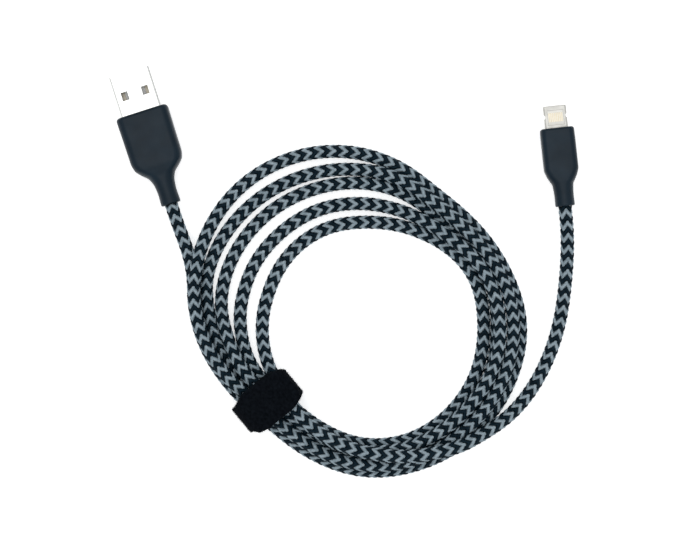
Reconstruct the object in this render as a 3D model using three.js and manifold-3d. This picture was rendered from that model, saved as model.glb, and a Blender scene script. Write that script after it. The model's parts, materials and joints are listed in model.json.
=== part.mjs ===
// Braided charging cable: a type A plug at one end, a small eight-contact plug at the other, and about a
// metre and a half of cable coiled flat between them under a hook-and-loop tie.
// Millimetres, +Z up. The cable lies on the plane z = 0 and is drawn round the middle of its coil; the
// outer group then puts the origin under the middle of the two plugs and the tie.

import * as THREE from 'three';
import { mergeVertices } from 'three/addons/utils/BufferGeometryUtils.js';
import Module from 'manifold-3d';

const wasm = await Module();
wasm.setup();

// ---------------------------------------------------------------- driving dimensions

const COIL_CENTRE = [6.1, -20.6];
const GAP = 0.3;
const FIT = 0.05;

const CABLE_RADIUS = 2.0;
const CABLE_SIDES = 12;
const WIRE_RADIUS = 0.42;
const WIRE_SIDES = 6;

// The coil's outline: degrees round from +X, inner radius, outer radius, bottom and top heights.
const COIL_OUTLINE = [
  [0, 32.4, 46.7, 0, 7.6],
  [30, 31.8, 44.7, 0, 7.6],
  [55, 28.9, 44.3, 0, 7.6],
  [75, 27.2, 47.4, 0, 6.0],
  [95, 26.7, 51.4, 0, 4.3],
  [115, 27.1, 54.4, 0, 4.1],
  [140, 27.1, 55.6, 0, 4.1],
  [160, 27.0, 54.4, 0, 6.0],
  [180, 27.5, 50.2, 0, 7.6],
  [195, 28.1, 46.8, 0, 7.6],
  [208, 28.6, 43.2, 1.3, 9.0],
  [231, 29.4, 42.2, 1.3, 9.0],
  [245, 31.0, 42.4, 0, 7.6],
  [270, 33.2, 44.7, 0, 7.6],
  [300, 34.1, 46.5, 0, 7.6],
  [330, 33.8, 47.1, 0, 7.6],
];
const COIL_STEPS = 72;
const COIL_EDGE = 1.8;

const TYPE_A = {
  place: [-64.5, 60.7, 4.0],
  turn: 17.8,
  outline: [
    // distance behind the shoulder, half width, half thickness, edge radius
    [0, 7.0, 3.3, 1.9],
    [0.25, 7.45, 3.75, 2.2],
    [0.8, 7.7, 4.0, 2.4],
    [7.5, 7.6, 4.0, 2.4],
    [13.5, 7.55, 4.0, 2.4],
    [15.8, 7.1, 3.9, 2.6],
    [17.6, 5.7, 3.6, 2.9],
    [19.4, 3.9, 3.25, 3.1],
  ],
  neck: [
    [19.7, 3.75, 3.2, 3.1],
    [21.7, 3.05, 3.0, 3.0],
    [24.5, 2.8, 2.8, 2.8],
    [27.6, 2.9, 2.9, 2.9],
    [27.9, 2.75, 2.75, 2.75],
  ],
};

const SHELL = { width: 12.0, height: 4.5, wall: 0.3, front: 12.0, back: -9.0, corner: 0.55 };
const WINDOW = { width: 2.0, length: 2.5, offset: 3.05, front: 5.2 };
const TONGUE = { width: 10.8, front: 11.6, back: -8.8, bottom: -1.87, top: -0.05, block_top: 1.87 };
const CONTACT = { width: 1.0, thick: 0.25, back: -11.0 };
const CONTACTS = [
  // name, sideways place, front end
  ['power', -3.5, 10.6],
  ['data_minus', -1.0, 9.6],
  ['data_plus', 1.0, 9.6],
  ['ground', 3.5, 10.6],
];
const REAR_SHIELD = { width: 12.0, height: 4.5, wall: 0.3, front: -9.3, back: -14.9, corner: 0.8 };
const TYPE_A_MOULD = { width: 13.4, height: 6.4, front: -1.2, back: -14.9 };
const TYPE_A_CLAMP = { front: -16.3, back: -18.8, wall: 0.5 };

const EIGHT_PIN = {
  place: [55.5, 56.1, 3.0],
  turn: 6.3,
  outline: [
    [0, 4.4, 2.5, 1.5],
    [0.25, 4.75, 2.85, 1.7],
    [0.7, 4.9, 3.0, 1.9],
    [5.0, 4.95, 3.0, 1.9],
    [11.7, 4.95, 3.0, 1.9],
    [13.8, 4.4, 2.95, 2.3],
    [15.4, 3.6, 2.9, 2.6],
  ],
  neck: [
    [15.7, 3.45, 2.9, 2.6],
    [16.5, 3.05, 2.85, 2.8],
    [20.0, 2.8, 2.8, 2.8],
    [22.4, 2.85, 2.85, 2.85],
    [22.7, 2.7, 2.7, 2.7],
  ],
};
const TIP = { width: 6.7, thick: 1.5, front: 6.5, back: -3.6, notch: 0.45, notch_at: 3.4 };
const CARRIER = { width: 4.5, front: 5.1, back: 0.9 };
const PAD = { count: 8, pitch: 0.53, width: 0.36, length: 2.6, middle: 3.1, thick: 0.12 };
const BOARD = { width: 6.2, thick: 0.6, front: -3.9, back: -9.4 };
const CHIP = { width: 2.6, length: 2.4, thick: 0.8, middle: -6.6 };
const CAN = { width: 7.4, height: 3.6, wall: 0.2, front: -1.0, back: -9.9, corner: 0.6 };
const EIGHT_PIN_MOULD = { width: 8.4, height: 4.4, front: -0.9, back: -10.4 };
const EIGHT_PIN_CLAMP = { front: -13.0, back: -14.9, wall: 0.35 };
const TIP_PASSAGE = { width: TIP.width, height: TIP.thick, corner: 0.6 };

const STRAP = {
  angle: 219.5,
  middle_radius: 35.6,
  width: 10.5,
  thick: 0.9,
  inside_width: 16.2,
  inside_bottom: 0.9,
  inside_top: 9.3,
  corner: 2.6,
  hook_thick: 0.5,
  tail_start: 4.6,
  tail_end: -8.6,
};

// Points that the two free ends of the cable run through, from the plug to the coil.
const TYPE_A_LEAD = [
  [-55.86, 33.86, 4.0],
  [-54.75, 31.1, 3.7],
  [-53.5, 27.9, 2.8],
  [-52.2, 25.2, 2.2],
];
const EIGHT_PIN_LEAD = [
  [57.93, 33.2, 3.0],
  [58.5, 27.5, 2.7],
  [58.5, 21.3, 2.2],
  [57.7, 10.2, 2.05],
  [56.4, 0.0, 2.05],
  [53.5, -9.4, 2.05],
  [49.3, -18.0, 2.05],
  [44.3, -24.7, 2.05],
  [42.6, -26.6, 2.05],
];

// ---------------------------------------------------------------- materials

function material(color, roughness, metalness) {
  return new THREE.MeshStandardMaterial({ color, roughness, metalness });
}

const NICKEL = material(0xd9d9d4, 0.25, 1);
const STEEL = material(0xb9bbbd, 0.35, 1);
const GOLD = material(0xd8a848, 0.3, 1);
const SOFT_BLACK = material(0x22282e, 0.6, 0);
const WHITE_PLASTIC = material(0xe8e6df, 0.5, 0);
const CLEAR_MOULD = material(0xcfd2cc, 0.5, 0);
const BOARD_GREEN = material(0x1f5a3a, 0.5, 0);
const CHIP_BLACK = material(0x16181a, 0.5, 0);
const BRAID = material(0x5c656e, 0.85, 0);
const STRAP_BLACK = material(0x0c0f13, 0.95, 0);
const WIRE_COLOURS = {
  power: material(0xb02020, 0.5, 0),
  data_minus: material(0xe6e6e6, 0.5, 0),
  data_plus: material(0x1f8a3c, 0.5, 0),
  ground: material(0x17181a, 0.5, 0),
};

// ---------------------------------------------------------------- shapes

function radians(degrees) {
  return (degrees * Math.PI) / 180;
}

function mesh(name, geometry, surface) {
  const piece = new THREE.Mesh(geometry, surface);
  piece.name = name;
  return piece;
}

function toManifold(geometry) {
  const bare = geometry.clone();
  bare.deleteAttribute('normal');
  bare.deleteAttribute('uv');
  const merged = mergeVertices(bare, 1e-5);
  return new wasm.Manifold(new wasm.Mesh({
    numProp: 3,
    vertProperties: new Float32Array(merged.attributes.position.array),
    triVerts: new Uint32Array(merged.index.array),
  }));
}

function fromManifold(solid) {
  const { vertProperties, triVerts, numProp } = solid.getMesh();
  const places = new Float32Array((vertProperties.length / numProp) * 3);
  for (let i = 0; i < places.length / 3; i += 1) {
    places.set(vertProperties.subarray(i * numProp, i * numProp + 3), i * 3);
  }
  const geometry = new THREE.BufferGeometry();
  geometry.setAttribute('position', new THREE.BufferAttribute(places, 3));
  geometry.setIndex(new THREE.BufferAttribute(new Uint32Array(triVerts), 1));
  geometry.computeVertexNormals();
  return geometry;
}

function cut(geometry, ...tools) {
  let solid = toManifold(geometry);
  for (const tool of tools) {
    solid = solid.subtract(toManifold(tool));
  }
  return fromManifold(solid);
}

function join(geometry, ...others) {
  let solid = toManifold(geometry);
  for (const other of others) {
    solid = solid.add(toManifold(other));
  }
  return fromManifold(solid);
}

// A block from x0 to x1, y0 to y1 and z0 to z1.
function block(x0, x1, y0, y1, z0, z1) {
  const box = new THREE.BoxGeometry(Math.abs(x1 - x0), Math.abs(y1 - y0), Math.abs(z1 - z0));
  return box.translate((x0 + x1) / 2, (y0 + y1) / 2, (z0 + z1) / 2);
}

// The corner points of a rounded rectangle, anticlockwise.
function roundedPoints(halfWidth, halfHeight, radius, steps) {
  const points = [];
  const corners = [[1, 1, 0], [-1, 1, 90], [-1, -1, 180], [1, -1, 270]];
  for (const [sx, sy, start] of corners) {
    for (let i = 0; i <= steps; i += 1) {
      const a = radians(start + (90 * i) / steps);
      points.push([
        sx * (halfWidth - radius) + radius * Math.cos(a),
        sy * (halfHeight - radius) + radius * Math.sin(a),
      ]);
    }
  }
  return points;
}

// A closed body through rings of points; every ring has the same number of points.
function loft(rings, closed = false) {
  const count = rings[0].length;
  const positions = rings.flat(2);
  const index = [];
  const last = closed ? rings.length : rings.length - 1;
  for (let r = 0; r < last; r += 1) {
    const next = (r + 1) % rings.length;
    for (let i = 0; i < count; i += 1) {
      const j = (i + 1) % count;
      const [a, b, c, d] = [r * count + i, r * count + j, next * count + j, next * count + i];
      index.push(a, b, c, a, c, d);
    }
  }
  if (!closed) {
    const end = (rings.length - 1) * count;
    for (let i = 1; i < count - 1; i += 1) {
      index.push(0, i + 1, i);
      index.push(end, end + i, end + i + 1);
    }
  }
  const geometry = new THREE.BufferGeometry();
  geometry.setAttribute('position', new THREE.Float32BufferAttribute(positions, 3));
  geometry.setIndex(index);
  return geometry;
}

// A body along the plug's axis from rows of distance behind the shoulder, half width, half thickness
// and edge radius. The plug points along +Y, so each row lies at y = -distance.
function mouldedBody(rows) {
  const rings = rows.map(([behind, halfWidth, halfThickness, radius]) => {
    const edge = Math.min(radius, halfWidth - 0.01, halfThickness - 0.01);
    const points = roundedPoints(halfWidth, halfThickness, edge, 5);
    return points.map(([x, z]) => [x, -behind, z]);
  });
  return loft(rings);
}

// A rounded rectangular bar along Y.
function bar(width, height, corner, front, back) {
  const points = roundedPoints(width / 2, height / 2, corner, 3);
  return loft([front, back].map((y) => points.map(([x, z]) => [x, y, z])));
}

// A rounded rectangular tube along Y, open at both ends.
function box_tube({ width, height, wall, front, back, corner }) {
  const inside = bar(width - 2 * wall, height - 2 * wall, corner - wall / 2, front + 1, back - 1);
  return cut(bar(width, height, corner, front, back), inside);
}

// A round bar along Y.
function rod(radius, front, back, sides = 24) {
  const cylinder = new THREE.CylinderGeometry(radius, radius, front - back, sides);
  return cylinder.translate(0, (front + back) / 2, 0);
}

// A cable or wire along a smooth curve through the given points.
function cord(points, radius, sides, steps) {
  const section = new THREE.Shape();
  for (let i = 0; i < sides; i += 1) {
    const a = (2 * Math.PI * i) / sides;
    const [x, y] = [radius * Math.cos(a), radius * Math.sin(a)];
    if (i === 0) section.moveTo(x, y);
    else section.lineTo(x, y);
  }
  section.closePath();
  const path = new THREE.CatmullRomCurve3(points.map((p) => new THREE.Vector3(...p)));
  return new THREE.ExtrudeGeometry(section, { steps, bevelEnabled: false, extrudePath: path });
}

// ---------------------------------------------------------------- type A plug

function typeAShell() {
  const { width } = WINDOW;
  const holes = [];
  for (const side of [-1, 1]) {
    for (const face of [-1, 1]) {
      const x = side * WINDOW.offset;
      const front = SHELL.front - WINDOW.front;
      holes.push(block(
        x - width / 2, x + width / 2, front, front - WINDOW.length, face * 1.5, face * (SHELL.height / 2 + 1),
      ));
    }
  }
  return mesh('type_a_shell', cut(box_tube(SHELL), ...holes), NICKEL);
}

function typeATongue() {
  const half = TONGUE.width / 2;
  const split = -1.5;
  const tongue = block(-half, half, split, TONGUE.front, TONGUE.bottom, TONGUE.top);
  const rear = block(-half, half, split, TONGUE.back, TONGUE.bottom, TONGUE.block_top);
  const slots = CONTACTS.map(([, x, front]) => block(
    x - CONTACT.width / 2 - FIT, x + CONTACT.width / 2 + FIT,
    TONGUE.back - 1, front + FIT,
    TONGUE.top - CONTACT.thick - 2 * FIT, TONGUE.top + 2 * FIT,
  ));
  return mesh('type_a_tongue', cut(join(tongue, rear), ...slots), WHITE_PLASTIC);
}

function typeAContacts() {
  const top = TONGUE.top;
  return CONTACTS.map(([name, x, front]) => mesh(
    `type_a_contact_${name}`,
    block(x - CONTACT.width / 2, x + CONTACT.width / 2, CONTACT.back, front, top - CONTACT.thick, top),
    GOLD,
  ));
}

// Four insulated wires from a row of solder points to a square bunch at the cable's end.
function wires(prefix, starts, endY) {
  const bunch = 0.55;
  const ends = [[-bunch, bunch], [-bunch, -bunch], [bunch, -bunch], [bunch, bunch]];
  return CONTACTS.map(([name], i) => {
    const [x, y, z] = starts[i];
    const [endX, endZ] = ends[i];
    const middle = (y + endY) / 2;
    const points = [
      [x, y, z],
      [x * 0.95 + endX * 0.05, y - 0.5, z],
      [(x + endX) / 2, middle, (z + endZ) / 2],
      [endX, endY + 0.6, endZ],
      [endX, endY, endZ],
    ];
    return mesh(`${prefix}_wire_${name}`, cord(points, WIRE_RADIUS, WIRE_SIDES, 8), WIRE_COLOURS[name]);
  });
}

function clampRing(name, { front, back, wall }) {
  const inner = CABLE_RADIUS + FIT;
  const ring = cut(rod(inner + wall, front, back), rod(inner, front + 1, back - 1));
  return mesh(name, ring, STEEL);
}

function cableEnd(name, front, back) {
  return mesh(name, rod(CABLE_RADIUS, front, back, CABLE_SIDES), BRAID);
}

function innerMould(name, { width, height, front, back }, passage) {
  const hole = bar(passage.width + 2 * FIT, passage.height + 2 * FIT, passage.corner, front + 1, back - 1);
  return mesh(name, cut(bar(width, height, 1.0, front, back), hole), CLEAR_MOULD);
}

function grip(name, plug, mould, passage, clamp) {
  const outside = mouldedBody(plug.outline);
  const length = plug.outline[plug.outline.length - 1][0];
  const mouth = bar(passage.width + 2 * FIT, passage.height + 2 * FIT, passage.corner, 1, mould.front - 0.1);
  const pocket = bar(mould.width + 2 * FIT, mould.height + 2 * FIT, 1.0, mould.front + FIT, mould.back - FIT);
  const clampBore = rod(CABLE_RADIUS + clamp.wall + 2 * FIT, mould.back + 0.1, clamp.back - FIT);
  const cableBore = rod(CABLE_RADIUS + FIT, clamp.back + 0.1, -length - 1);
  return mesh(name, cut(outside, mouth, pocket, clampBore, cableBore), SOFT_BLACK);
}

function neck(name, plug) {
  const rows = plug.neck;
  const bore = rod(CABLE_RADIUS + FIT, 1 - rows[0][0], -rows[rows.length - 1][0] - 1);
  return mesh(name, cut(mouldedBody(rows), bore), SOFT_BLACK);
}

function typeAPlug() {
  const plug = new THREE.Group();
  const cableFront = TYPE_A_CLAMP.front + 0.2;
  const cableBack = GAP - TYPE_A.neck[TYPE_A.neck.length - 1][0];
  const solder = CONTACT.back - 0.2;
  const starts = CONTACTS.map(([, x]) => [x, solder, TONGUE.top - CONTACT.thick / 2]);
  plug.add(
    typeAShell(),
    typeATongue(),
    ...typeAContacts(),
    mesh('type_a_rear_shield', box_tube(REAR_SHIELD), STEEL),
    ...wires('type_a', starts, cableFront + 0.2),
    clampRing('type_a_cable_clamp', TYPE_A_CLAMP),
    cableEnd('type_a_cable_end', cableFront, cableBack),
    innerMould('type_a_inner_mould', TYPE_A_MOULD, SHELL),
    grip('type_a_grip', TYPE_A, TYPE_A_MOULD, SHELL, TYPE_A_CLAMP),
    neck('type_a_neck', TYPE_A),
  );
  plug.position.set(...TYPE_A.place);
  plug.rotation.z = radians(TYPE_A.turn);
  return plug;
}

// ---------------------------------------------------------------- eight-contact plug

function tipFrame() {
  const { width, thick, front, back } = TIP;
  const points = roundedPoints(width / 2, thick / 2, 0.6, 4);
  const nose = 0.35;
  const rows = [[back, 0], [front - nose, 0], [front - nose * 0.3, 0.1], [front, 0.35]];
  const body = loft(rows.map(([y, inset]) => points.map(([x, z]) => [
    x * (1 - inset / (width / 2)), y, z * (1 - inset / thick),
  ])).reverse());
  const half = CARRIER.width / 2 + FIT;
  const opening = block(-half, half, CARRIER.back - FIT, CARRIER.front + FIT, -thick, thick);
  const inside = block(-2.3, 2.3, back - 1, CARRIER.back, -0.45, 0.45);
  const notches = [-1, 1].map((side) => {
    const round = new THREE.CylinderGeometry(0.75, 0.75, 4, 16).rotateX(Math.PI / 2);
    return round.translate(side * (width / 2 + 0.75 - TIP.notch), TIP.notch_at, 0);
  });
  return mesh('eight_pin_tip_frame', cut(body, opening, inside, ...notches), NICKEL);
}

function padPlaces() {
  const places = [];
  for (let i = 0; i < PAD.count; i += 1) {
    places.push((i - (PAD.count - 1) / 2) * PAD.pitch);
  }
  return places;
}

function contactCarrier() {
  const half = CARRIER.width / 2;
  const face = TIP.thick / 2 - 0.02;
  const body = block(-half, half, CARRIER.back, CARRIER.front, -face, face);
  const seats = [];
  for (const x of padPlaces()) {
    for (const side of [-1, 1]) {
      seats.push(block(
        x - PAD.width / 2 - 0.02, x + PAD.width / 2 + 0.02,
        PAD.middle - PAD.length / 2 - 0.02, PAD.middle + PAD.length / 2 + 0.02,
        side * (face - PAD.thick - 0.02), side * (face + 1),
      ));
    }
  }
  return mesh('eight_pin_contact_carrier', cut(body, ...seats), WHITE_PLASTIC);
}

function pads() {
  const face = TIP.thick / 2 - 0.02;
  const pieces = [];
  for (const [side, label] of [[1, 'top'], [-1, 'bottom']]) {
    padPlaces().forEach((x, i) => {
      pieces.push(mesh(`eight_pin_contact_${label}_${i + 1}`, block(
        x - PAD.width / 2, x + PAD.width / 2,
        PAD.middle - PAD.length / 2, PAD.middle + PAD.length / 2,
        side * (face - PAD.thick), side * face,
      ), GOLD));
    });
  }
  return pieces;
}

function eightPinBoard() {
  const half = BOARD.width / 2;
  const bottom = -BOARD.thick / 2;
  const board = block(-half, half, BOARD.back, BOARD.front, bottom, -bottom);
  const chipBottom = -bottom + FIT;
  const chip = block(
    -CHIP.width / 2, CHIP.width / 2, CHIP.middle - CHIP.length / 2, CHIP.middle + CHIP.length / 2,
    chipBottom, chipBottom + CHIP.thick,
  );
  return [mesh('eight_pin_board', board, BOARD_GREEN), mesh('eight_pin_chip', chip, CHIP_BLACK)];
}

function shieldCan() {
  const throat = bar(TIP.width + 2 * FIT, TIP.thick + 2 * FIT, 0.6, CAN.front + 1, CAN.front - 1);
  const front = CAN.front - CAN.wall;
  const inside = bar(CAN.width - 2 * CAN.wall, CAN.height - 2 * CAN.wall, 0.5, front, CAN.back - 1);
  const can = cut(bar(CAN.width, CAN.height, CAN.corner, CAN.front, CAN.back), inside, throat);
  return mesh('eight_pin_shield_can', can, STEEL);
}

function eightPinPlug() {
  const plug = new THREE.Group();
  const cableFront = EIGHT_PIN_CLAMP.front + 0.2;
  const cableBack = GAP - EIGHT_PIN.neck[EIGHT_PIN.neck.length - 1][0];
  const solder = BOARD.back - 0.3;
  const starts = [-2.1, -0.7, 0.7, 2.1].map((x) => [x, solder, 0]);
  plug.add(
    tipFrame(),
    contactCarrier(),
    ...pads(),
    ...eightPinBoard(),
    shieldCan(),
    ...wires('eight_pin', starts, cableFront + 0.2),
    clampRing('eight_pin_cable_clamp', EIGHT_PIN_CLAMP),
    cableEnd('eight_pin_cable_end', cableFront, cableBack),
    innerMould('eight_pin_inner_mould', EIGHT_PIN_MOULD, CAN),
    grip('eight_pin_grip', EIGHT_PIN, EIGHT_PIN_MOULD, TIP_PASSAGE, EIGHT_PIN_CLAMP),
    neck('eight_pin_neck', EIGHT_PIN),
  );
  plug.position.set(...EIGHT_PIN.place);
  plug.rotation.z = radians(EIGHT_PIN.turn);
  return plug;
}

// ---------------------------------------------------------------- tie

// A flat ring of strap, seen along the cable, with its inside opening given by half width and heights.
function strapBand() {
  const { inside_width, inside_bottom, inside_top, thick, corner, width } = STRAP;
  const half = (inside_top - inside_bottom) / 2;
  const outer = roundedPoints(inside_width / 2 + thick, half + thick, corner + thick, 6);
  const inner = roundedPoints(inside_width / 2, half, corner, 6);
  const shape = new THREE.Shape(outer.map(([x, y]) => new THREE.Vector2(x, y)));
  shape.holes.push(new THREE.Path(inner.map(([x, y]) => new THREE.Vector2(x, y)).reverse()));
  const band = new THREE.ExtrudeGeometry(shape, { depth: width, bevelEnabled: false, curveSegments: 1 });
  return band.translate(0, inside_bottom + half, -width / 2).rotateX(Math.PI / 2);
}

// The free end of the strap, seen along the cable: up the outside of the band, round the corner and
// over the top, with a closed layer of hooks between it and the band.
function strapTail() {
  const { inside_width, inside_top, thick, hook_thick, corner, width, tail_start, tail_end } = STRAP;
  const side = inside_width / 2 + thick + FIT;
  const bottom = inside_top + thick + hook_thick + 2 * FIT;
  const bend = corner + thick;
  const [middleX, middleZ] = [side - bend, bottom - bend];
  const shape = new THREE.Shape();
  shape.moveTo(side, tail_start);
  shape.lineTo(side + thick, tail_start);
  shape.lineTo(side + thick, middleZ);
  shape.absarc(middleX, middleZ, bend + thick, 0, Math.PI / 2, false);
  shape.lineTo(tail_end, bottom + thick);
  shape.lineTo(tail_end, bottom);
  shape.lineTo(middleX, bottom);
  shape.absarc(middleX, middleZ, bend, Math.PI / 2, 0, true);
  shape.closePath();
  const tail = new THREE.ExtrudeGeometry(shape, { depth: width, bevelEnabled: false, curveSegments: 6 });
  return tail.translate(0, 0, -width / 2).rotateX(Math.PI / 2);
}

function strapHooks() {
  const { inside_top, thick, hook_thick, width } = STRAP;
  const bottom = inside_top + thick + FIT;
  return block(-5.5, 5.0, 0.5 - width / 2, width / 2 - 0.5, bottom, bottom + hook_thick);
}

function strap() {
  const group = new THREE.Group();
  group.add(
    mesh('strap_band', strapBand(), STRAP_BLACK),
    mesh('strap_hooks', strapHooks(), STRAP_BLACK),
    mesh('strap_tail', strapTail(), STRAP_BLACK),
  );
  const a = radians(STRAP.angle);
  group.rotation.z = a;
  group.position.set(STRAP.middle_radius * Math.cos(a), STRAP.middle_radius * Math.sin(a), 0);
  return group;
}

// ---------------------------------------------------------------- cable

// One column of the coil's outline at an angle, eased between its rows without overshooting them.
function outlineAt(rows, degrees, column) {
  const count = rows.length;
  const row = (i) => {
    const turns = Math.floor(i / count);
    const entry = rows[i - turns * count];
    return [entry[0] + 360 * turns, entry[column]];
  };
  const slope = (i) => (row(i + 1)[1] - row(i)[1]) / (row(i + 1)[0] - row(i)[0]);
  const lean = (i) => {
    const [before, after] = [slope(i - 1), slope(i)];
    return before * after > 0 ? (2 * before * after) / (before + after) : 0;
  };
  const after = rows.findIndex(([angle]) => angle > degrees);
  const k = after < 0 ? count - 1 : after - 1;
  const [[a0, v0], [a1, v1]] = [row(k), row(k + 1)];
  const [span, t] = [a1 - a0, (degrees - a0) / (a1 - a0)];
  return v0 * (1 + 2 * t) * (1 - t) ** 2 + v1 * t * t * (3 - 2 * t)
    + span * (lean(k) * t * (1 - t) ** 2 - lean(k + 1) * t * t * (1 - t));
}

// The outer shape of the coiled turns, a ring whose width and height change round it.
function coil() {
  const rings = [];
  for (let i = 0; i < COIL_STEPS; i += 1) {
    const degrees = (360 * i) / COIL_STEPS;
    const [inner, outer, bottom, top] = [1, 2, 3, 4].map((c) => outlineAt(COIL_OUTLINE, degrees, c));
    const section = roundedPoints((outer - inner) / 2, (top - bottom) / 2, COIL_EDGE, 3);
    const a = radians(degrees);
    rings.push(section.map(([x, z]) => {
      const r = (inner + outer) / 2 + x;
      return [r * Math.cos(a), r * Math.sin(a), (top + bottom) / 2 + z];
    }).reverse());
  }
  return mesh('cable_coil', loft(rings, true), BRAID);
}

function cable() {
  return [
    coil(),
    mesh('cable_lead_type_a', cord(TYPE_A_LEAD, CABLE_RADIUS, CABLE_SIDES, 6), BRAID),
    mesh('cable_lead_eight_pin', cord(EIGHT_PIN_LEAD, CABLE_RADIUS, CABLE_SIDES, 16), BRAID),
  ];
}

// ---------------------------------------------------------------- whole object

const chargingCable = new THREE.Group();
chargingCable.add(typeAPlug(), eightPinPlug(), strap(), ...cable());
chargingCable.position.set(COIL_CENTRE[0], COIL_CENTRE[1], 0);

export default chargingCable;
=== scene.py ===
"""Looks of the braided charging cable: the cable and its braid, the plugs' moulded grips, the tie and
every material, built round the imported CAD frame. Shapes are worked out in millimetres from the middle of
the coil, and to_frame turns them into metres in the frame's own axes."""

import json
import math

import bpy
import numpy as np
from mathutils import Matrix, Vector


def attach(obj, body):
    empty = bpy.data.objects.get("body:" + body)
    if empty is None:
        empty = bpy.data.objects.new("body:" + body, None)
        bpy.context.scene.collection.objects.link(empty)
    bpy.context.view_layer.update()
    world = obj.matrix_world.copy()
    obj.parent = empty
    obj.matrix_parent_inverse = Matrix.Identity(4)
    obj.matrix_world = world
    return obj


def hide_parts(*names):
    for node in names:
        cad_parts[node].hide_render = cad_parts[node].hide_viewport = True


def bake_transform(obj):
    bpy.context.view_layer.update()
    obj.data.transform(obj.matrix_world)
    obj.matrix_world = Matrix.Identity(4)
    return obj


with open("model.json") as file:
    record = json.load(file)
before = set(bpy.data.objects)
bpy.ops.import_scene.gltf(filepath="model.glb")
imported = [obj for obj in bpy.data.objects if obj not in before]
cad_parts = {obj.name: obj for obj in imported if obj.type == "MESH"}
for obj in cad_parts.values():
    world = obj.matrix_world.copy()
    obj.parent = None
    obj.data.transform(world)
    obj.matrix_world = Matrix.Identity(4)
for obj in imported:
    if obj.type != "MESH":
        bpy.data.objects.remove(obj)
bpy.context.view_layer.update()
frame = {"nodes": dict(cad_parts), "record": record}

MM = 0.001
UP = np.array([0.0, 0.0, 1.0])

# The middle of the coil, in the frame's own axes.
COIL_CENTRE_MM = (6.1, -20.6)

# ---------------------------------------------------------------- cable dimensions

CABLE_DIAMETER_MM = 4.0
JACKET_RADIUS_MM = 1.62

# The route is worked out at this many degrees of the coil from point to point.
TURN_STEP_DEGREES = 2.0
# Where two turns touch, the soft braid lets them come this share of the diameter close.
PRESSED_SHARE = 0.955
# How far the cable runs into the small plug's neck.
INTO_NECK_MM = 0.7

# Where the coil's turns lie: angle round the coil, radius of the innermost turn, and the spacing of each
# turn from the one inside it. They lie in a bunch at the tie and at the right, and fan out at the upper left.
TURN_PROFILE_MM = [
    (0, 34.4, 4.5, -0.6, 4.9, 1.7),
    (20, 34.4, 3.4, 0.4, 3.2, 1.6),
    (50, 31.4, 2.7, 2.7, 2.4, 2.5),
    (62, 30.2, 3.6, 3.7, 2.3, 2.4),
    (75, 29.3, 4.5, 5.5, 2.9, 3.0),
    (90, 28.8, 5.4, 6.0, 3.7, 4.6),
    (110, 29.2, 5.8, 6.1, 4.5, 6.0),
    (135, 29.3, 6.2, 6.7, 5.1, 5.9),
    (155, 29.1, 7.0, 6.5, 5.3, 4.1),
    (165, 29.1, 7.0, 6.4, 5.2, 3.3),
    (175, 29.5, 6.8, 5.6, 4.1, 3.4),
    (187, 29.9, 6.0, 4.2, 3.4, 3.0),
    (200, 30.4, 5.0, 2.9, 2.5, 2.4),
    (219.5, 31.0, 1.75, 1.75, 1.75, 1.75),
    (245, 32.1, 1.7, 1.7, 1.7, 1.7),
    (270, 35.0, 1.75, 1.75, 1.75, 1.75),
    (300, 36.2, 2.0, 2.0, 2.0, 2.0),
    (325, 35.9, 2.9, 1.4, 2.7, 2.3),
    (342, 35.3, 4.2, -0.6, 4.5, 1.7),
]
TURNS = 5
TIE_ANGLE = 219.5
# From the tie on, each turn takes this many degrees to move inward to the next slot.
SLOT_CHANGE_DEGREES = 100.0

# The two free ends, as in the CAD: points from the middle of the coil, in the order that the cable runs.
TYPE_A_LEAD_MM = [
    (-55.86, 33.86, 4.0),
    (-54.75, 31.1, 3.7),
    (-53.5, 27.9, 2.8),
    (-52.2, 25.2, 2.2),
]
EIGHT_PIN_LEAD_MM = [
    (42.6, -26.6, 2.05),
    (44.3, -24.7, 2.05),
    (49.3, -18.0, 2.05),
    (53.5, -9.4, 2.05),
    (56.4, 0.0, 2.05),
    (57.7, 10.2, 2.05),
    (58.5, 21.3, 2.2),
    (58.5, 27.5, 2.7),
    (57.93, 33.2, 3.0),
]

# Where the leads join the coil, as angle round the coil and radius: the type A plug's lead slips in under
# the outermost turn, and the last turn crosses over all the others before it leaves.
LEAD_JOINS_MM = [
    (157, 54.4),
    (160, 52.0),
    (163, 51.0),
    (167, 50.6),
    (175, 49.0),
    (185, 46.9),
    (195, 44.5),
    (205, 42.5),
]
CROSSING_MM = [
    (219.5, 31.4),
    (245, 34.0),
    (270, 37.2),
    (285, 39.8),
    (300, 42.9),
    (310, 45.2),
    (320, 47.7),
]

# How the turns change between the layer on the floor and the one above it. Turns are counted from
# LAYERS_START_DEGREES, and each move is the angle where it starts and the angle that it takes.
LAYERS_START_DEGREES = 135
LAYER_MOVES_DEGREES = {
    "second_turn_climbs": (138, 14.0),
    "other_turns_climb": (185, 25.0),
    "turns_come_down": (412, 45.0),
    "second_turn_dips": (300, 40.0),
    "second_turn_rises": (385, 30.0),
    "first_turn_leans": (325, 25.0),
    "first_turn_lies_down": (410, 35.0),
}
LAYER_HEIGHT_MM = 3.7
LEANING_LAYERS = 0.9

# The tie's tape lifts the cable off the floor by about its own thickness, over this many degrees each way.
TIE_LIFT_MM = 1.0
TIE_REACH_DEGREES = 11.0

# ---------------------------------------------------------------- plug dimensions, as in the CAD

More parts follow.
